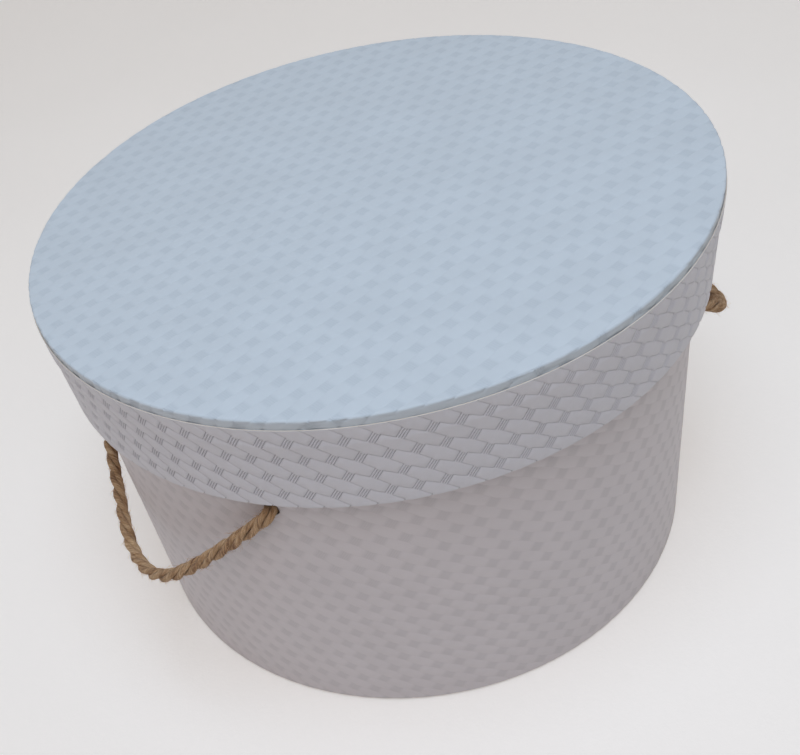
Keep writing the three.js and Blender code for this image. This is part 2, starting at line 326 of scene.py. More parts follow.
def thread_mask(tree):
    """How deep a point lies between the short threads, and how far into the hollow round them."""
    separate = tree.add("ShaderNodeSeparateXYZ")
    uv = tree.add("ShaderNodeUVMap", uv_map="plait")
    tree.links.new(uv.outputs[0], separate.inputs[0])
    along, across = separate.outputs[0], separate.outputs[1]
    strip = tree.math("ROUND", across)
    odd = tree.math("ABSOLUTE", tree.math("MODULO", strip, 2.0))
    shifted = tree.math("MULTIPLY_ADD", odd, 0.5, along)
    turn = tree.math("SUBTRACT", tree.math("FRACT", tree.math("ADD", shifted, 0.5)), 0.5)
    from_hatch = tree.math("ABSOLUTE", tree.math("MULTIPLY", turn, PLAIT_PERIOD))
    from_middle = tree.math("SUBTRACT", across, strip)
    from_middle = tree.math("ABSOLUTE", tree.math("MULTIPLY", from_middle, STRIP_PITCH))
    in_width = tree.ramp(from_hatch, HATCH_HALF_WIDTH + 0.05, HATCH_HALF_WIDTH + 0.3, 1, 0)
    in_length = tree.ramp(from_middle, HATCH_HALF_LENGTH - 0.25, HATCH_HALF_LENGTH, 1, 0)
    hatch = tree.math("MULTIPLY", in_width, in_length)
    near = tree.ramp(from_hatch, HOLLOW_CORE[0], HOLLOW_EDGE[0], 1, 0)
    level = tree.ramp(from_middle, HOLLOW_CORE[1], HOLLOW_EDGE[1], 1, 0)
    hollow = tree.math("MULTIPLY", near, level)
    phase = tree.math("SUBTRACT", from_hatch, THREAD_PITCH / 2)
    phase = tree.math("MULTIPLY", phase, 2 * math.pi / THREAD_PITCH)
    wave = tree.math("MULTIPLY_ADD", tree.math("COSINE", phase), 0.5, 0.5)
    return tree.math("MULTIPLY", hatch, tree.math("POWER", wave, 2.0)), hollow


def embossed_paper(name, thread_bump, line_shade, hollow_shade, white_with_painted_tint, painted_shade_colour):
    """Coated paper: satin pads, duller grooves with painted shade in them and in the hollows round
    the threads, faint mottling.
    """
    tree = NodeTree(name)
    groove, hollow = thread_mask(tree)
    painted_shade_weight = tree.add("ShaderNodeAttribute", attribute_name="painted_shade_weight").outputs["Fac"]
    painted_shade_weight = tree.math("POWER", painted_shade_weight, 1.6)
    mottle = tree.noise(38, detail=5)
    grain = tree.noise(2600, detail=2)
    # Painted shade: grooves, threads and the hollows round them mix towards a darker colour, where
    # shade falls in the relief
    shade = tree.math("MULTIPLY", painted_shade_weight, line_shade)
    shade = tree.math("MULTIPLY_ADD", groove, line_shade, shade)
    shade = tree.math("MULTIPLY_ADD", hollow, hollow_shade, shade)
    mottled = tree.mix(tree.ramp(mottle, 0.3, 0.7), tuple(0.965 * c for c in white_with_painted_tint), white_with_painted_tint)
    colour = tree.mix(shade, mottled, painted_shade_colour)
    roughness = tree.math("MULTIPLY_ADD", tree.math("ADD", shade, mottle), 0.16, 0.38)
    height = tree.math("MULTIPLY_ADD", groove, -thread_bump, tree.math("MULTIPLY", grain, 0.05))
    normal = tree.bump(height, 0.0002)
    return tree.finish(colour, roughness, normal, specular=0.4)


def smooth_paper(name, low, high):
    """Uncoated paper with a fine fibre grain."""
    tree = NodeTree(name)
    mottle = tree.noise(60, detail=6)
    fibre = tree.noise(900, detail=3, stretch=(1, 1, 0.35))
    colour = tree.mix(tree.ramp(mottle, 0.3, 0.7), low, high)
    height = tree.math("ADD", fibre, tree.math("MULTIPLY", mottle, 0.6))
    roughness = tree.math("MULTIPLY_ADD", mottle, 0.12, 0.68)
    return tree.finish(colour, roughness, tree.bump(height, 0.00012), specular=0.3)


def grey_board():
    """Grey board with darker and lighter flecks of pulp."""
    tree = NodeTree("grey_board")
    fleck = tree.noise(1500, detail=2, roughness=0.7)
    cloud = tree.noise(120, detail=4)
    colour = tree.mix(tree.ramp(cloud, 0.3, 0.7), (0.25, 0.235, 0.215), (0.33, 0.31, 0.285))
    colour = tree.mix(tree.ramp(fleck, 0.62, 0.7), colour, (0.12, 0.11, 0.10))
    return tree.finish(colour, 0.92, tree.bump(fleck, 0.0002), specular=0.2)


def jute():
    """Jute strands: streaks along the fibres, from straw to brown, with painted shade between the
    strands.
    """
    tree = NodeTree("jute")
    where = tree.add("ShaderNodeUVMap", uv_map="fibre").outputs[0]
    streak = tree.noise(1, detail=5, roughness=0.65, where=where, stretch=(0.16, 2.6, 1))
    thin = tree.noise(1, detail=3, roughness=0.6, where=where, stretch=(0.5, 9, 1))
    patch = tree.noise(1, detail=2, where=where, stretch=(0.05, 0.3, 1))
    inner = tree.add("ShaderNodeAttribute", attribute_name="inner").outputs["Fac"]
    tone = tree.math("MULTIPLY_ADD", thin, 0.45, tree.math("MULTIPLY", streak, 0.55))
    tone = tree.math("MULTIPLY_ADD", tree.math("SUBTRACT", patch, 0.5), 0.35, tone)
    colour = tree.mix(tree.ramp(tone, 0.36, 0.52), (0.21, 0.095, 0.042), (0.64, 0.38, 0.195))
    colour = tree.mix(tree.ramp(tone, 0.48, 0.62), colour, (0.90, 0.67, 0.41))
    # Painted shade on the side of each strand that faces the rope's core, where the strands meet
    colour = tree.mix(tree.math("MULTIPLY", inner, 0.75), colour, (0.10, 0.045, 0.022))
    height = tree.math("MULTIPLY_ADD", thin, 0.6, streak)
    material = tree.finish(colour, 0.82, tree.bump(height, 0.0006), specular=0.25)
    tree.shader.inputs["Sheen Weight"].default_value = 0.15
    tree.shader.inputs["Sheen Roughness"].default_value = 0.5
    return material


# Meshes

def new_object(
    name, points, faces, material, smooth_below=math.radians(48), edge_material=None, edge_start=0,
):
    """A mesh object from points in millimetres; faces from edge_start on are of edge_material."""
    mesh = bpy.data.meshes.new(name)
    mesh.from_pydata((np.asarray(points) * MM).tolist(), [], faces)
    mesh.update()
    mesh.polygons.foreach_set("use_smooth", np.ones(len(faces), bool))
    mesh.set_sharp_from_angle(angle=smooth_below)
    mesh.materials.append(material)
    if edge_material is not None:
        mesh.materials.append(edge_material)
        on_edge = np.arange(len(faces)) >= edge_start
        mesh.polygons.foreach_set("material_index", on_edge.astype(int))
    item = bpy.data.objects.new(name, mesh)
    bpy.context.scene.collection.objects.link(item)
    return item


def give_uv(item, name, uv):
    """Writes one pair of numbers for each vertex into a UV map."""
    mesh = item.data
    corners = np.zeros(len(mesh.loops), int)
    mesh.loops.foreach_get("vertex_index", corners)
    layer = mesh.uv_layers.new(name=name)
    layer.data.foreach_set("uv", np.asarray(uv)[corners].astype(np.float32).ravel())


def give_value(item, name, values):
    attribute = item.data.attributes.new(name, "FLOAT", "POINT")
    attribute.data.foreach_set("value", np.asarray(values).astype(np.float32))


# Profiles: the section of a folded sheet, from its first edge to its last

def rounded_profile(corners):
    """Points of a line through (radius, height, rounding) corners, with arcs for the roundings."""
    points = []
    for i, (r, z, rounding) in enumerate(corners):
        here = np.array((r, z), float)
        if rounding == 0:
            points.append(here)
            continue
        back = unit(np.array(corners[i - 1][:2]) - here)
        on = unit(np.array(corners[i + 1][:2]) - here)
        half = math.acos(np.clip(back @ on, -1, 1)) / 2
        centre = here + unit(back + on) * rounding / math.sin(half)
        first = here + back * rounding / math.tan(half) - centre
        last = here + on * rounding / math.tan(half) - centre
        sweep = math.pi - 2 * half
        for step in range(ARC_STEPS + 1):
            share = step / ARC_STEPS
            a, b = math.sin((1 - share) * sweep), math.sin(share * sweep)
            points.append(centre + (a * first + b * last) / math.sin(sweep))
    return np.array(points)


class Profile:
    """A sheet's section, followed by its length along the paper."""

    def __init__(self, corners):
        self.points = rounded_profile(corners)
        self.stops = stops_along(self.points)
        self.length = self.stops[-1]
        steps = np.diff(self.points, axis=0)
        normals = unit(np.stack([-steps[:, 1], steps[:, 0]], axis=1))
        self.normals = unit(np.vstack([normals[:1], normals[:-1] + normals[1:], normals[-1:]]))

    def at(self, s, lift):
        """Radius and height of points that stand lift above the paper at s."""
        r, z, nr, nz = (
            np.interp(s, self.stops, column)
            for column in (*self.points.T, *self.normals.T)
        )
        size = np.hypot(nr, nz)
        return r + nr / size * lift, z + nz / size * lift


# Flat sheets: polygons in the plane of the unrolled paper

class FlatSheet:
    """Points (x, y) and polygons of an unrolled paper, which can be cut along level lines."""

    def __init__(self, points, faces):
        self.points = np.asarray(points, float)
        self.faces = [tuple(f) for f in faces]

    def cut(self, level, keep_outside=False):
        """Splits polygons where level(points) is 0 and keeps those below it, or both sides."""
        value = level(self.points)
        value[np.abs(value) < 1e-5] = -1e-5
        sizes = np.fromiter((len(f) for f in self.faces), int, len(self.faces))
        corners = np.fromiter(chain.from_iterable(self.faces), int, sizes.sum())
        starts = np.cumsum(sizes) - sizes
        outside = np.add.reduceat((value[corners] > 0).astype(int), starts)
        kept, made, added = [], {}, []

        def crossing(a, b):
            key = (min(a, b), max(a, b))
            if key not in made:
                made[key] = len(self.points) + len(added)
                added.append(self.meeting_point(key, value, level))
            return made[key]

        for face, size, beyond in zip(self.faces, sizes, outside):
            if beyond == 0 or (keep_outside and beyond == size):
                kept.append(face)
            elif beyond < size:
                inner, outer = [], []
                for a, b in zip(face, face[1:] + face[:1]):
                    (inner if value[a] < 0 else outer).append(a)
                    if (value[a] < 0) != (value[b] < 0):
                        middle = crossing(a, b)
                        inner.append(middle)
                        outer.append(middle)
                kept.append(tuple(inner))
                if keep_outside:
                    kept.append(tuple(outer))
        self.faces = kept
        if added:
            self.points = np.vstack([self.points, added])

    def meeting_point(self, key, value, level):
        """Where an edge meets the level line."""
        a, b = self.points[key[0]], self.points[key[1]]
        va, vb = value[key[0]], value[key[1]]
        for _ in range(4):
            point = a + (b - a) * va / (va - vb)
            v = level(point[None])[0]
            if abs(v) < 1e-7:
                break
            if (v < 0) == (va < 0):
                a, va = point, v
            else:
                b, vb = point, v
        return point

    def tidy(self):
        """Drops the points that no polygon uses."""
        used = np.unique(np.fromiter(chain.from_iterable(self.faces), int))
        number = np.zeros(len(self.points), int)
        number[used] = np.arange(len(used))
        self.points = self.points[used]
        self.faces = [tuple(number[list(f)].tolist()) for f in self.faces]

    def open_edges(self):
        """Directed edges that only one polygon has."""
        edges = set()
        for face in self.faces:
            edges.update(zip(face, face[1:] + face[:1]))
        return sorted(edge for edge in edges if (edge[1], edge[0]) not in edges)

    def grow_rings(self, radii):
        """Adds rings of polygons outside a round sheet, one out to each radius."""
        following = dict(self.open_edges())
        loop = [min(following)]
        while following[loop[-1]] != loop[0]:
            loop.append(following[loop[-1]])
        inner, directions = loop, unit(self.points[loop])
        for radius in radii:
            outer = list(range(len(self.points), len(self.points) + len(loop)))
            self.points = np.vstack([self.points, directions * radius])
            for i in range(len(loop)):
                j = (i + 1) % len(loop)
                self.faces.append((inner[j], inner[i], outer[i], outer[j]))
            inner = outer


def grid_faces(shape):
    """Four-sided faces of a grid of points, numbered row by row."""
    number = np.arange(shape[0] * shape[1]).reshape(shape)
    faces = [number[:-1, :-1], number[:-1, 1:], number[1:, 1:], number[1:, :-1]]
    return np.stack(faces, axis=-1).reshape(-1, 4)


def plain_grid(width, height, step):
    """A flat sheet of nearly square cells."""
    columns, rows = max(1, round(width / step)), max(1, round(height / step))
    x, y = np.meshgrid(np.linspace(0, width, columns + 1), np.linspace(0, height, rows + 1))
    return FlatSheet(np.stack([x.ravel(), y.ravel()], axis=1), grid_faces(x.shape).tolist())


class Weave:
    """Basket weave in the plane of a sheet: a hatch group at origin, and pads along angle."""

    def __init__(self, origin, angle, pitch):
        self.origin = np.array(origin, float)
        self.pitch = pitch
        self.along = np.array((math.cos(angle), math.sin(angle)))
        self.across = np.array((-math.sin(angle), math.cos(angle)))

    def plait_place(self, points):
        offset = points - self.origin
        return offset @ self.along, offset @ self.across

    def zigzag(self, along):
        """From -1 beside strip 0's own threads to 1 beside its pads' middles."""
        share = np.abs((along / PLAIT_PERIOD + 0.5) % 1 - 0.5) * 2
        margin = HATCH_HALF_WIDTH / HALF_PERIOD
        return np.clip((share - margin) / (1 - 2 * margin), 0, 1) * 2 - 1

    def half_width(self, strip, zigzag):
        """Half the width of a strip, which bulges at its pads' middles."""
        return self.pitch / 2 + PAD_BULGE * zigzag * np.where(strip % 2 == 0, 1, -1)

    def locate(self, points):
        """Each point's distance from its strip's nearest threads and from its strip's edge."""
        along, across = self.plait_place(points)
        zigzag = self.zigzag(along)
        strip = np.round(across / self.pitch)
        for _ in range(2):
            offset = across - strip * self.pitch
            past = np.abs(offset) > self.half_width(strip, zigzag)
            strip = strip + np.where(past, np.sign(offset), 0)
        edge = self.half_width(strip, zigzag) - np.abs(across - strip * self.pitch)
        shifted = along / PLAIT_PERIOD + np.where(strip % 2 == 0, 0, 0.5)
        from_hatch = np.abs((shifted + 0.5) % 1 - 0.5) * PLAIT_PERIOD
        return from_hatch, np.maximum(edge, 0)

    def relief(self, points, depth, threads):
        """Height of the embossed surface over the paper's plane, and how far it is pushed in."""
        from_hatch, edge = self.locate(points)
        on_pad = from_hatch - HATCH_HALF_WIDTH
        crown = CROWN * np.sin(np.pi / 2 * np.clip(edge / CROWN_SLOPE, 0, 1))
        crown = crown * np.sin(np.pi / 2 * np.clip(on_pad / PAD_SLOPE, 0, 1))
        from_threads = np.minimum(from_hatch, HALF_PERIOD - from_hatch) - HATCH_HALF_WIDTH
        beside_pads = np.clip(from_threads / GROOVE_FADE + 1, GROOVE_LEAST, 1)
        groove = np.exp(-((edge / GROOVE_WIDTH) ** 2)) * beside_pads
        ends = np.clip(edge / THREAD_SLOPE, 0, 1)
        ripple = 0.5 + 0.5 * np.cos(2 * np.pi * (from_hatch / THREAD_PITCH - 0.5))
        pad_end = np.exp(-((on_pad / PAD_END_WIDTH) ** 2))
        thread = np.where(on_pad < 0, ripple, pad_end) * ends * threads
        shoulder = SHOULDER_DEPTH * np.exp(-((edge / SHOULDER_WIDTH) ** 2)) * beside_pads
        height = crown - shoulder - GROOVE_DEPTH * groove - THREAD_DEPTH * thread * (1 - groove)
        return height * depth, np.maximum(groove, thread)

    def grid(self, corners, columns, rows, wanted):
        """A flat sheet whose lines follow the grooves, where wanted(points) holds for a corner."""
        def steps_over(values, step):
            return range(math.floor(values.min() / step) - 1, math.ceil(values.max() / step) + 2)

        along, across = self.plait_place(np.array(corners, float))
        lines = [n * HALF_PERIOD + np.array(columns) for n in steps_over(along, HALF_PERIOD)]
        lines = np.concatenate(lines)
        zigzag = self.zigzag(lines)
        edges = []
        for strip in steps_over(across, self.pitch):
            half, middle = self.half_width(strip, zigzag), strip * self.pitch
            edges += [middle - half + d for d in rows]
            edges += [middle + half - d for d in reversed(rows) if d > 0]
        q = np.array(edges)
        p = np.broadcast_to(lines, q.shape)
        points = self.origin + p.reshape(-1, 1) * self.along + q.reshape(-1, 1) * self.across
        faces = grid_faces(q.shape)
        faces = faces[wanted(points)[faces].any(axis=1)]
        sheet = FlatSheet(points, faces.tolist())
        sheet.tidy()
        return sheet


def with_thick_edges(sheet, lift):
    """Turns every free edge of the sheet down by the paper's thickness."""
    points, lifts, faces = list(sheet.points), list(lift), list(sheet.faces)
    below = {}
    for a, b in sheet.open_edges():
        for corner in (a, b):
            if corner not in below:
                below[corner] = len(points)
                points.append(sheet.points[corner])
                lifts.append(-PAPER)
        faces.append((b, a, below[a], below[b]))
    return np.array(points), np.array(lifts), faces


def woven_strip(weave, columns, rows, width, profile):
    """A rectangle of the weave, as long as the profile, with a cut across it at each bend."""
    height = profile.length

    def wanted(points):
        x, y = points.T
        return (x > -1) & (x < width + 1) & (y > -1) & (y < height + 1)

    sheet = weave.grid([(0, 0), (width, 0), (width, height), (0, height)], columns, rows, wanted)
    for axis, end in ((0, width), (1, height)):
        sheet.cut(lambda p: -p[:, axis])
        sheet.cut(lambda p: p[:, axis] - end)
    for bend in profile.stops[1:-1]:
        sheet.cut(lambda p: p[:, 1] - bend, keep_outside=True)
    sheet.tidy()
    return sheet


def wrapped_sheet(
    name, sheet, lift, profile, radius, material,
    edge_material=None, lap_at=None, flat_at_end=False,
):
    """Rolls a flat sheet, x round the box and y along the profile, and laps its end over."""
    points, lifts, faces = with_thick_edges(sheet, lift)
    x, s = points.T
    if lap_at is not None:
        rise = np.clip((x - lap_at + SEAM_RAMP) / SEAM_RAMP, 0, 1)
        flat_end = 0
        if flat_at_end:
            flat_end = np.clip((s - profile.length + TURN_UNDER + SEAM_RAMP) / SEAM_RAMP, 0, 1)
        lifts = lifts + (PAPER + GLUE / 2) * rise * rise * (3 - 2 * rise) * (1 - flat_end)
    azimuth = SEAM_AZIMUTH + x / radius
    r, z = profile.at(s, lifts)
    placed = np.stack([r * np.cos(azimuth), r * np.sin(azimuth), z], axis=1)
    flipped = [tuple(reversed(f)) for f in faces]
    item = new_object(
        name, placed, flipped, material, edge_material=edge_material, edge_start=len(sheet.faces),
    )
    return item, points


def dress_weave(item, weave, flat_points, sheet_size, threads, shade=1.0, band_painted_shade=0.0):
    """Gives a sheet its place in the weave, paints shade into its grooves, and darkens its cut
    edges.
    """
    along, across = weave.plait_place(flat_points)
    give_uv(item, "plait", np.stack([along / PLAIT_PERIOD, across / weave.pitch], axis=1))
    painted_shade_weight = weave.relief(flat_points, 1, threads)[1]
    painted_shade_weight[sheet_size:] = CUT_EDGE_SHADE
    give_value(item, "painted_shade_weight", painted_shade_weight * shade + band_painted_shade)


# Lines of the weave's grid within half a period, measured from the middle of a hatch group
FINE_COLUMNS = [-1.85, -1.5, -1, -0.5, 0, 0.5, 1, 1.5, 1.85, 3.3, 5.15]
MEDIUM_COLUMNS = [-1.5, -1, -0.5, 0, 0.5, 1, 1.5, 2.4, 6]
COARSE_COLUMNS = [-1.5, 0, 1.5, 3.4, 5.05]
FINE_ROWS = [0, 0.26, 0.75]
MEDIUM_ROWS = [0, 0.28, 0.65]
COARSE_ROWS = [0, 0.4]
SKIRT_WEAVE_ANGLE = math.radians(33)
SKIRT_STRIP_PITCH = 5.45
SKIRT_HATCH_AZIMUTH = math.radians(247.37)
SKIRT_HATCH_HEIGHT = 158.3
BASE_WEAVE_ANGLE = math.radians(33.1)
BASE_STRIP_PITCH = 5.2
BASE_HATCH_AZIMUTH = math.radians(254.08)
BASE_HATCH_HEIGHT = 70
TOP_WEAVE_ANGLE = math.radians(14.5)
TOP_STRIP_PITCH = 5.32
TOP_HATCH_PLACE = (-3, -1)

# Depth of the relief on each paper, over the depths above. The skirt's fades in from its top edge,
# and the band of the top paper that is folded down has rings BAND_STEP apart and a darker painted
# shade, as it faces slightly down
SKIRT_RELIEF = 1.1
BASE_RELIEF = 0.45
TOP_RELIEF = 0.3
BAND_RELIEF = 0.9
EDGE_FADE = 1.2
BAND_STEP = 0.45
BAND_SHADE = 1.2
BAND_PAINTED_SHADE = 1.9
CUT_EDGE_SHADE = 1.3


def sheet_x(azimuth, radius):
    """How far from its seam a rolled sheet reaches an azimuth."""
    return radius * ((azimuth - SEAM_AZIMUTH) % (2 * math.pi))


def lid_side_paper(material, edge_material):
    ramp_end = TOP_PAPER_END - TOP_LAP_RAMP
    turn_in_end = MOUTH + MOUTH_TURN_IN
    profile = Profile([
        (hoop_outer(SIDE_TOP) + 2 * PAPER_LAYER, SIDE_TOP, 0),
        (hoop_outer(TOP_PAPER_END) + 2 * PAPER_LAYER, TOP_PAPER_END, 0),
        (hoop_outer(ramp_end) + PAPER_LAYER, ramp_end, 0),
        (hoop_outer(MOUTH) + PAPER_LAYER, MOUTH, FOLD_ROUND),
        (hoop_inner(MOUTH) - PAPER_LAYER, MOUTH, FOLD_ROUND),
        (hoop_inner(turn_in_end) - PAPER_LAYER, turn_in_end, 0),
    ])
    radius = hoop_outer(MOUTH) + PAPER_LAYER
    turn = 2 * math.pi * radius
    hatch = sheet_x(SKIRT_HATCH_AZIMUTH, radius), SIDE_TOP - SKIRT_HATCH_HEIGHT
    weave = Weave(hatch, SKIRT_WEAVE_ANGLE, SKIRT_STRIP_PITCH)
    sheet = woven_strip(weave, FINE_COLUMNS, FINE_ROWS, turn + SEAM_LAP, profile)
    lift = weave.relief(sheet.points, SKIRT_RELIEF, 1)[0]
    lift = lift * np.clip(sheet.points[:, 1] / EDGE_FADE, 0, 1)
    item, flat_points = wrapped_sheet(
        "lid_embossed_side", sheet, lift, profile, radius, material, edge_material, lap_at=turn,
    )
    dress_weave(item, weave, flat_points, len(sheet.points), 1)
    return item


def cut_rope_holes(sheet, hole_y, radius):
    """Cuts the four rope holes into a wall's flat sheet."""
    for azimuth in HOLE_AZIMUTHS.values():
        hole_x = sheet_x(azimuth, radius)
        sheet.cut(lambda p: HOLE_RADIUS - np.hypot(p[:, 0] - hole_x, p[:, 1] - hole_y))
    sheet.tidy()


def base_side_paper(material, edge_material):
    inner = WALL_INNER - PAPER_LAYER
    profile = Profile([
        (inner, RIM_TOP - RIM_TURN_IN, 0),
        (inner, RIM_TOP, FOLD_ROUND),
        (BASE_RADIUS, RIM_TOP, FOLD_ROUND),
        (BASE_RADIUS, BASE_PAPER_LOW, FOLD_ROUND),
        (BASE_RADIUS - TURN_UNDER, BASE_PAPER_LOW, 0),
    ])
    turn = 2 * math.pi * BASE_RADIUS
    hole_y = profile.length - TURN_UNDER - (HOLE_HEIGHT - BASE_PAPER_LOW)
    hole_y = hole_y + (2 - math.pi / 2) * FOLD_ROUND
    hatch = sheet_x(BASE_HATCH_AZIMUTH, BASE_RADIUS), hole_y + HOLE_HEIGHT - BASE_HATCH_HEIGHT
    weave = Weave(hatch, BASE_WEAVE_ANGLE, BASE_STRIP_PITCH)
    sheet = woven_strip(weave, COARSE_COLUMNS, COARSE_ROWS, turn + SEAM_LAP, profile)
    cut_rope_holes(sheet, hole_y, BASE_RADIUS)
    lift = weave.relief(sheet.points, BASE_RELIEF, 0)[0]
    lift = np.where(sheet.points[:, 1] > profile.stops[-2], 0, lift)
    item, flat_points = wrapped_sheet(
        "base_embossed_side", sheet, lift, profile, BASE_RADIUS, material, edge_material,
        lap_at=turn, flat_at_end=True,
    )
    dress_weave(item, weave, flat_points, len(sheet.points), 0)
    return item


def lid_top_paper(material):
    profile = Profile([
        (0, LID_TOP, 0),
        (LID_TOP_RADIUS, LID_TOP, RIM_ROUND),
        (hoop_outer(TOP_PAPER_END) + PAPER_LAYER, TOP_PAPER_END, 0),
    ])
    flat_radius = profile.stops[1]
    weave = Weave(TOP_HATCH_PLACE, TOP_WEAVE_ANGLE, TOP_STRIP_PITCH)
    reach = flat_radius * math.sqrt(2)
    corners = [(-reach, -reach), (reach, -reach), (reach, reach), (-reach, reach)]

    def wanted(points):
        return np.hypot(*points.T) < flat_radius + 1

    sheet = weave.grid(corners, MEDIUM_COLUMNS, MEDIUM_ROWS, wanted)
    sheet.cut(lambda p: np.hypot(*p.T) - flat_radius)
    sheet.tidy()
    shown_end = profile.stops[-2] + LID_TOP - SIDE_TOP - RIM_ROUND
    shown = np.arange(profile.stops[-2] + BAND_STEP, shown_end + 2 * BAND_STEP, BAND_STEP)
    sheet.grow_rings([*profile.stops[2:-1], *shown, profile.length])
    on_band = np.hypot(*sheet.points.T) > flat_radius
    lift = weave.relief(sheet.points, 1, 1)[0] * np.where(on_band, BAND_RELIEF, TOP_RELIEF)
    points, lifts, faces = with_thick_edges(sheet, lift)
    s = np.hypot(*points.T)
    r, z = profile.at(s, lifts)
    share = r / np.maximum(s, 1e-9)
    placed = np.stack([points[:, 0] * share, points[:, 1] * share, z], axis=1)
    item = new_object("lid_embossed_top", placed, faces, material)
    on_band = s > flat_radius
    # Painted shade on the folded-down band, which faces slightly down: its grooves weigh more and
    # an even shade lies over it
    shade, band_painted_shade = np.where(on_band, BAND_SHADE, 1), np.where(on_band, BAND_PAINTED_SHADE, 0)
    dress_weave(item, weave, points, len(sheet.points), 1, shade, band_painted_shade)
    return item


# Plain turned pieces

def turned(name, section, material, segments=256, closed=True):
    """A section of (radius, height) points, turned about the box's axis."""
    azimuths = np.linspace(0, 2 * math.pi, segments, endpoint=False)
    on_axis = [r < 1e-6 for r, _ in section]
    points, numbers = [], []
    for (r, z), axial in zip(section, on_axis):
        if axial:
            numbers.append([len(points)] * segments)
            points.append((0, 0, z))
        else:
            numbers.append(list(range(len(points), len(points) + segments)))
            points += [(r * math.cos(a), r * math.sin(a), z) for a in azimuths]
    faces = []
    for i in range(len(section) if closed else len(section) - 1):
        here, following = numbers[i], numbers[(i + 1) % len(section)]
        if on_axis[i] and on_axis[(i + 1) % len(section)]:
            continue
        for j in range(segments):
            k = (j + 1) % segments
            face = [here[j], here[k], following[k], following[j]]
            faces.append(tuple(dict.fromkeys(face)))
    return new_object(name, points, faces, material)


def disc_section(node):
    """Section of a disc that fills a node's box, with its edges eased."""
    low, high = frame_box(node)
    radius, eased = high[0], high[0] - DISC_EASE
    return [
        (0, low[2]), (eased, low[2]), (radius, low[2] + DISC_EASE),
        (radius, high[2] - DISC_EASE), (eased, high[2]), (0, high[2]),
    ]


def base_wall_lining(material):
    low, high = frame_box("base_wall_lining")
    profile = Profile([(LINING_INNER, low[2], 0), (LINING_INNER, high[2], 0)])
    sheet = plain_grid(2 * math.pi * LINING_INNER, profile.length, LINING_CELL)
    cut_rope_holes(sheet, HOLE_HEIGHT - low[2], LINING_INNER)
    flat = np.zeros(len(sheet.points))
    item, _ = wrapped_sheet("base_lining", sheet, flat, profile, LINING_INNER, material)
    return item


def lid_wall_lining(material):
    low, high = frame_box("lid_wall_lining")
    section = [
        (hoop_inner(z) - layer, z)
        for z, layer in (
            (low[2], GLUE + LINING), (low[2], GLUE), (high[2], GLUE), (high[2], GLUE + LINING),
        )
    ]
    return turned("lid_lining", section, material)


# Rope

def between(t, start, end, a, b):
    """The point at t on a straight line from a at start to b at end."""
    return (end - t) / (end - start) * a + (t - start) / (end - start) * b


def smooth_route(route, step):
    """Evenly spaced points of a centripetal curve through the route."""
    route = [np.array(p, float) for p in route]
    route = [2 * route[0] - route[1], *route, 2 * route[-1] - route[-2]]
    dense = []
    for p0, p1, p2, p3 in zip(route, route[1:], route[2:], route[3:]):
        t0 = 0
        t1 = t0 + np.linalg.norm(p1 - p0) ** 0.5
        t2 = t1 + np.linalg.norm(p2 - p1) ** 0.5
        t3 = t2 + np.linalg.norm(p3 - p2) ** 0.5
        for t in np.linspace(t1, t2, 24, endpoint=False):
            middle = between(t, t1, t2, p1, p2)
            first = between(t, t0, t2, between(t, t0, t1, p0, p1), middle)
            last = between(t, t1, t3, middle, between(t, t2, t3, p2, p3))
            dense.append(between(t, t1, t2, first, last))
    dense.append(route[-2])
    dense = np.array(dense)
    stops = stops_along(dense)
    count = max(2, round(stops[-1] / step))
    where = np.linspace(0, stops[-1], count + 1)
    return np.stack([np.interp(where, stops, dense[:, k]) for k in range(3)], axis=1), stops[-1]


def carried_frames(line):
    """Two cross directions carried along a line without twist."""
    tangents = unit(np.gradient(line, axis=0))
    start = np.cross(tangents[0], (0, 0, 1) if abs(tangents[0][2]) < 0.9 else (1, 0, 0))
    normals = [unit(start)]
    for tangent in tangents[1:]:
        normals.append(unit(normals[-1] - tangent * (normals[-1] @ tangent)))
    normals = np.array(normals)
    return normals, np.cross(tangents, normals)


def uneven(rng, length, spacing, spare, middle, spread):
    """Seeded numbers about middle at stops along a rope, joined up for each place in length."""
    stops = np.arange(0, length[-1] + 2 * spacing, spacing)
    drawn = middle + rng.normal(0, spread, int(length[-1] / spacing) + spare)
    return np.interp(length, stops, drawn[:len(stops)])


def strand_path(rng, line, length, cross, strand, spread):
    """Centre line of one strand, with its outward and its sideways direction."""
    wander = uneven(rng, length, spacing=6, spare=3, middle=0, spread=0.12)
    turn = -2 * math.pi * length / ROPE_LAY + 2 * math.pi * strand / 3 + wander
    away = np.cos(turn)[:, None] * cross[0] + np.sin(turn)[:, None] * cross[1]
    centre = line + away * (STRAND_OFFSET * (1 + FRAY_SPREAD * spread))[:, None]
    tangents = unit(np.gradient(centre, axis=0))
    side = unit(np.cross(tangents, away))
    return centre, np.cross(side, tangents), side


def strand_radii(rng, length, around, spread):
    """Radius of a strand round each ring of its surface, which swells and has yarns and lumps."""
    swell = uneven(rng, length, spacing=4, spare=4, middle=1, spread=0.035)
    lump = rng.normal(0, 0.045, (len(length), STRAND_SIDES))
    lump = (lump + np.roll(lump, 1, 0) + np.roll(lump, -1, 0)) / 1.7
    yarn_turn = 2 * math.pi * length[:, None] / YARN_TURN / 3
    ridge = np.cos(YARN_RIDGES * (around[None] - yarn_turn))
    radii = STRAND_RADIUS * swell[:, None] * (1 + 0.05 * ridge) + lump
    return radii * (1 - FRAY_THINNING * spread[:, None])


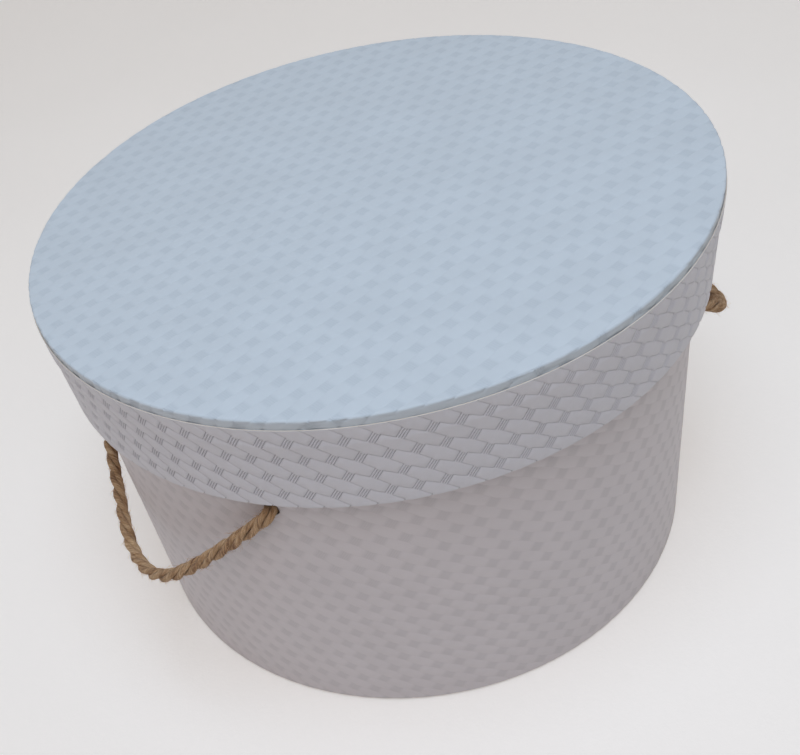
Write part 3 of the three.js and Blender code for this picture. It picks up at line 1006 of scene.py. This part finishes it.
def rope_mesh(name, line, seed, material, stray, frayed_end=False):
    """A three-strand rope of hairy jute round a line of evenly spaced points."""
    rng = np.random.default_rng(seed)
    length = np.arange(len(line)) * np.linalg.norm(line[1] - line[0])
    cross = carried_frames(line)
    around = np.linspace(0, 2 * math.pi, STRAND_SIDES, endpoint=False)
    spread = np.zeros(len(line))
    if frayed_end:
        spread = np.clip((length - length[-1] + FRAY_LENGTH) / FRAY_LENGTH, 0, 1) ** 2
    points, faces, uv, inner, strands = [], [], [], [], []
    for strand in range(3):
        centre, out, side = strand_path(rng, line, length, cross, strand, spread)
        strands.append((centre, out, side))
        radii = strand_radii(rng, length, around, spread)
        ring = centre[:, None] - out[:, None] * (np.cos(around) * radii)[..., None]
        ring = ring + side[:, None] * (np.sin(around) * radii)[..., None]
        rows = np.arange(len(points), len(points) + radii.size).reshape(radii.shape)
        points += ring.reshape(-1, 3).tolist()
        twist = around / (2 * math.pi) * FIBRE_MAP_ROUND - length[:, None] * FIBRE_MAP_SLANT
        twist = twist + strand * FIBRE_MAP_SHIFT
        along = np.broadcast_to(length[:, None], twist.shape)
        uv += np.stack([along, twist], axis=-1).reshape(-1, 2).tolist()
        # How far each point faces the rope's core, which weighs the painted shade between the
        # strands
        inner += np.tile(np.clip(np.cos(around), 0, 1) ** 2, len(line)).tolist()
        after = np.roll(rows, -1, axis=1)
        quads = np.stack([rows[:-1], rows[1:], after[1:], after[:-1]], axis=-1).reshape(-1, 4)
        faces += [*quads.tolist(), rows[0].tolist(), rows[-1][::-1].tolist()]
    hair = Hair(rng, line, points, faces, uv, inner)
    for _ in range(stray):
        hair.grow_from_side(*strands[rng.integers(3)], rng.integers(2, len(line) - 2))
    for _ in range(FRAYED_FIBRES if frayed_end else 0):
        hair.grow_from_end(*strands[rng.integers(3)])
    item = new_object(name, points, faces, material, smooth_below=math.radians(80))
    give_uv(item, "fibre", uv)
    give_value(item, "inner", inner)
    return item


class Hair:
    """Loose jute fibres, three-sided and drawn to a point."""

    def __init__(self, rng, line, points, faces, uv, inner):
        self.rng, self.line, self.points, self.faces = rng, line, points, faces
        self.uv, self.inner = uv, inner

    def kept_near(self, centre, reach):
        """Pulls a point back to within reach of the rope's centre line."""
        away = centre - self.line[np.argmin(np.linalg.norm(self.line - centre, axis=1))]
        distance = np.linalg.norm(away)
        return centre if distance <= reach else centre - away * (1 - reach / distance)

    def grow(self, start, heading, bend, length, thickness, reach=FIBRE_REACH):
        base = len(self.points)
        tone = self.rng.uniform(0, 400)
        centre, heading = np.array(start), unit(heading)
        for step in range(FIBRE_STEPS + 1):
            share = step / FIBRE_STEPS
            a = unit(np.cross(heading, (0.3, 0.5, 0.81)))
            b = np.cross(heading, a)
            width = thickness * (1 - 0.8 * share)
            for k in range(3):
                turn = 2 * math.pi * k / 3
                corner = centre + width * (math.cos(turn) * a + math.sin(turn) * b)
                self.points.append(corner.tolist())
                self.uv.append((tone + share * length, tone))
                self.inner.append(0.0)
            centre = self.kept_near(centre + heading * length / FIBRE_STEPS, reach)
            heading = unit(heading + bend / FIBRE_STEPS)
        for step in range(FIBRE_STEPS):
            for k in range(3):
                a, b = base + step * 3 + k, base + step * 3 + (k + 1) % 3
                self.faces.append((a, b, b + 3, a + 3))
        self.faces.append((base + 2, base + 1, base))
        last = base + FIBRE_STEPS * 3
        self.faces.append((last, last + 1, last + 2))

    def grow_from_side(self, centre, out, side, at):
        rng = self.rng
        turn = rng.uniform(-1.7, 1.7)
        outward = out[at] * math.cos(turn) + side[at] * math.sin(turn)
        tangent = unit(centre[at + 1] - centre[at - 1])
        heading = tangent * rng.choice((-1, 1)) + outward * rng.uniform(0.15, 0.7)
        bend = -outward * rng.uniform(-0.3, 0.9) + rng.normal(0, 0.35, 3)
        start = centre[at] + outward * STRAND_RADIUS * 0.9
        self.grow(start, heading, bend, rng.uniform(2.0, 6.0), rng.uniform(0.05, 0.1))

    def grow_from_end(self, centre, out, side):
        rng = self.rng
        turn, share = rng.uniform(0, 2 * math.pi), math.sqrt(rng.uniform(0, 1))
        spread = out[-1] * math.cos(turn) + side[-1] * math.sin(turn)
        tangent = unit(centre[-1] - centre[-3])
        start = centre[-1] + spread * STRAND_RADIUS * share * 0.8 - tangent * 0.5
        heading = tangent + spread * share * rng.uniform(0.1, 0.7)
        bend, length = rng.normal(0, 0.5, 3), rng.uniform(1.5, 5)
        self.grow(start, heading, bend, length, rng.uniform(0.06, 0.13), FRAYED_REACH)


def loop_route(facing, lean):
    """Centre line of a handle: out of one hole, round the hanging loop and back into the other."""
    outward = np.array((facing, 0, 0), float)
    along = np.array((0, facing, 0), float)
    down = np.array((0, 0, -math.cos(lean))) + outward * math.sin(lean)
    chord = PIVOT_RADIUS * math.cos(HOLE_SPREAD / 2)
    half_span = PIVOT_RADIUS * math.sin(HOLE_SPREAD / 2)
    origin = np.array((0, 0, HOLE_HEIGHT)) + outward * chord
    route = [
        origin + along * across * half_span + down * drop * LOOP_DROP
        for across, drop in LOOP_ROUTE_SHARES
    ]

    def lead_in(pivot, following):
        radial = pivot * (1, 1, 0) / np.hypot(*pivot[:2])
        inside = pivot - radial * (PIVOT_RADIUS - ROPE_JOIN_RADIUS)
        start, end = pivot - radial * BEND_START, pivot + unit(following - pivot) * BEND_END
        bend = [
            (1 - t) ** 2 * start + 2 * t * (1 - t) * pivot + t ** 2 * end
            for t in (0, 0.25, 0.5, 0.75, 1)
        ]
        return [inside, (inside + start) / 2, *bend]

    first = lead_in(route[0], route[1])
    last = lead_in(route[-1], route[-2])
    return [*first, *route[1:-1], *reversed(last)]


def knot_route(azimuth):
    """Centre line of a rope end: in through the wall, round an overhand knot, and out as a tail."""
    reach = KNOT_RING + KNOT_LOBE
    wall = BASE_RADIUS + STUB_PROUD - LINING_INNER
    centre = wall + KNOT_WALL_GAP + reach + ROPE_RADIUS

    def place(inward, sideways, up):
        return (centre + inward, sideways, up - reach)

    start = BASE_RADIUS + STUB_PROUD - ROPE_JOIN_RADIUS
    route = [
        (start, 0, 0),
        ((start + wall) / 2, 0, 0),
        (wall + KNOT_WALL_GAP, 0, 0),
        place(-KNOT_RING, KNOT_LEAD, reach),
        place(0, KNOT_LEAD, reach),
    ]
    for t in np.linspace(KNOT_OPENING, 2 * math.pi - KNOT_OPENING, 33):
        radius = KNOT_RING + KNOT_LOBE * math.cos(3 * t)
        inward, sideways = radius * math.sin(2 * t), KNOT_DEPTH * math.sin(3 * t)
        route.append(place(inward, sideways, radius * math.cos(2 * t)))
    for inward, drop in ((0, 0), (KNOT_TAIL / 3, 0), (KNOT_TAIL, KNOT_TAIL / 4)):
        route.append(place(inward, -KNOT_LEAD, reach - drop))
    shift = BASE_RADIUS + STUB_PROUD
    placed = []
    for inward, sideways, up in route:
        x, y = rotated(inward - shift, sideways, azimuth + math.pi)
        placed.append((x, y, up + HOLE_HEIGHT))
    return placed


# Floor and light, in metres

FLAT_RADIUS = 3.0
BACKDROP_BEND = 1.6
BACKDROP_RADIUS = 4.6
BACKDROP_HEIGHT = 5.0
FLOOR_DROP = 0.0003
FLOOR_PALING = 0.3

# Place, target, size, power in watts and colour
LAMPS = {
    "overhead": ((-0.05, -0.2, 1.1), (0, -0.05, 0.15), 0.5, 3.0, (0.65, 0.82, 1.0)),
    "front": ((-0.2, -0.8, 1.5), (0, 0, 0.15), 0.9, 3.8, (0.94, 0.93, 1.0)),
    "side_fill": ((-2.0, -0.3, 0.7), (0, 0, 0.1), 1.2, 1.8, (1.0, 0.80, 0.77)),
}
WORLD_COLOUR = (0.94, 0.96, 1.0, 1)
WORLD_STRENGTH = 0.405


def make_floor():
    """A pale floor that turns up into a backdrop far behind the box on every side."""
    section = [(r, 0) for r in (0, 0.4, 0.8, 1.6, FLAT_RADIUS)]
    for turn in np.linspace(0, math.pi / 2, 13)[1:]:
        away, up = BACKDROP_BEND * math.sin(turn), BACKDROP_BEND * (1 - math.cos(turn))
        section.append((FLAT_RADIUS + away, up))
    section.append((BACKDROP_RADIUS, BACKDROP_HEIGHT))
    tree = NodeTree("pale_floor")
    cloud = tree.noise(3, detail=3)
    fine = tree.noise(400, detail=3)
    colour = tree.mix(tree.ramp(cloud, 0.3, 0.7), (0.83, 0.79, 0.75), (0.86, 0.82, 0.78))
    material = tree.finish(colour, 0.85, tree.bump(fine, 0.0001), specular=0.2)
    rays = tree.add("ShaderNodeLightPath").outputs
    seen = tree.math("MAXIMUM", rays["Is Camera Ray"], rays["Is Glossy Ray"])
    seen = tree.math("MAXIMUM", seen, rays["Is Transmission Ray"])
    tree.shader.inputs["Emission Color"].default_value = (1.0, 0.97, 0.94, 1)
    tree.feed(tree.shader.inputs["Emission Strength"], tree.math("MULTIPLY", seen, FLOOR_PALING))
    section = [(r / MM, z / MM) for r, z in reversed(section)]
    floor = turned("floor", section, material, segments=96, closed=False)
    floor.location.z = -FLOOR_DROP


def make_light():
    for name, (place, target, size, power, colour) in LAMPS.items():
        data = bpy.data.lights.new(name, "AREA")
        data.shape, data.size, data.energy, data.color = "DISK", size, power, colour
        lamp = bpy.data.objects.new(name, data)
        lamp.location = place
        lamp.rotation_euler = (Vector(target) - Vector(place)).to_track_quat("-Z", "Y").to_euler()
        bpy.context.scene.collection.objects.link(lamp)
    world = bpy.data.worlds.new("studio")
    bpy.context.scene.world = world
    world.use_nodes = True
    background = world.node_tree.nodes["Background"]
    background.inputs["Color"].default_value = WORLD_COLOUR
    background.inputs["Strength"].default_value = WORLD_STRENGTH


def settle(item, body, slot, *nodes):
    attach(item, body)
    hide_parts(*nodes)


def dress_papers():
    # Painted light: the papers are one white paper, tinted bluish on the top and skirt for the cool
    # light from above and pinkish on the wall for warm bounce; each darker colour is its painted
    # shade, bluish on the top
    top = embossed_paper(
        "embossed_paper_top", thread_bump=0.04, line_shade=0.03, hollow_shade=0.11,
        white_with_painted_tint=(0.72, 0.79, 0.85), painted_shade_colour=(0.31, 0.37, 0.43),
    )
    side = embossed_paper(
        "embossed_paper_skirt", thread_bump=0.25, line_shade=0.34, hollow_shade=0.0,
        white_with_painted_tint=(0.79, 0.78, 0.82), painted_shade_colour=(0.42, 0.42, 0.45),
    )
    wall = embossed_paper(
        "embossed_paper_wall", thread_bump=0.2, line_shade=0.06, hollow_shade=0.17,
        white_with_painted_tint=(0.795, 0.745, 0.757), painted_shade_colour=(0.42, 0.40, 0.41),
    )
    settle(lid_top_paper(top), "lid", "embossed_paper", "lid_top_paper")
    core = smooth_paper("paper_core", (0.76, 0.69, 0.62), (0.82, 0.75, 0.68))
    settle(lid_side_paper(side, core), "lid", "embossed_paper", "lid_side_paper")
    settle(base_side_paper(wall, core), "base", "embossed_paper", "base_side_paper")


def dress_inside():
    lining = smooth_paper("lining_paper", (0.74, 0.73, 0.70), (0.80, 0.79, 0.76))
    underside = smooth_paper("underside_paper", (0.72, 0.72, 0.71), (0.77, 0.77, 0.76))
    board = grey_board()
    settle(base_wall_lining(lining), "base", "lining_paper", "base_wall_lining")
    settle(lid_wall_lining(lining), "lid", "lining_paper", "lid_wall_lining")
    for node, name, body, slot, material in (
        ("base_floor_lining", "base_floor_paper", "base", "lining_paper", lining),
        ("lid_top_lining", "lid_top_inner_paper", "lid", "lining_paper", lining),
        ("base_underside_paper", "base_bottom_paper", "base", "underside_paper", underside),
    ):
        settle(turned(name, disc_section(node), material), body, slot, node)
    for node in ("base_wall_board", "base_floor_board", "lid_wall_board", "lid_top_board"):
        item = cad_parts[node]
        item.data.materials.clear()
        item.data.materials.append(board)


def dress_ropes():
    material = jute()
    for number, (corner, azimuth) in enumerate(HOLE_AZIMUTHS.items()):
        line, _ = smooth_route(knot_route(azimuth), STRAND_STEP)
        knot = rope_mesh(
            f"{corner}_tied_end", line, KNOT_SEED + number, material, KNOT_FIBRES, frayed_end=True,
        )
        settle(knot, "base", "jute_rope", f"{corner}_knot")
    for side, facing, lean in (("left", -1, LEFT_LEAN), ("right", 1, RIGHT_LEAN)):
        line, length = smooth_route(loop_route(facing, lean), STRAND_STEP)
        rope = rope_mesh(f"{side}_handle", line, LOOP_SEED + facing, material, LOOP_FIBRES)
        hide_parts(f"{side}_handle_rope")
        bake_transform(rope)


make_camera()
dress_ropes()
dress_papers()
dress_inside()
make_floor()
make_light()
bpy.context.scene.view_settings.view_transform = "Standard"
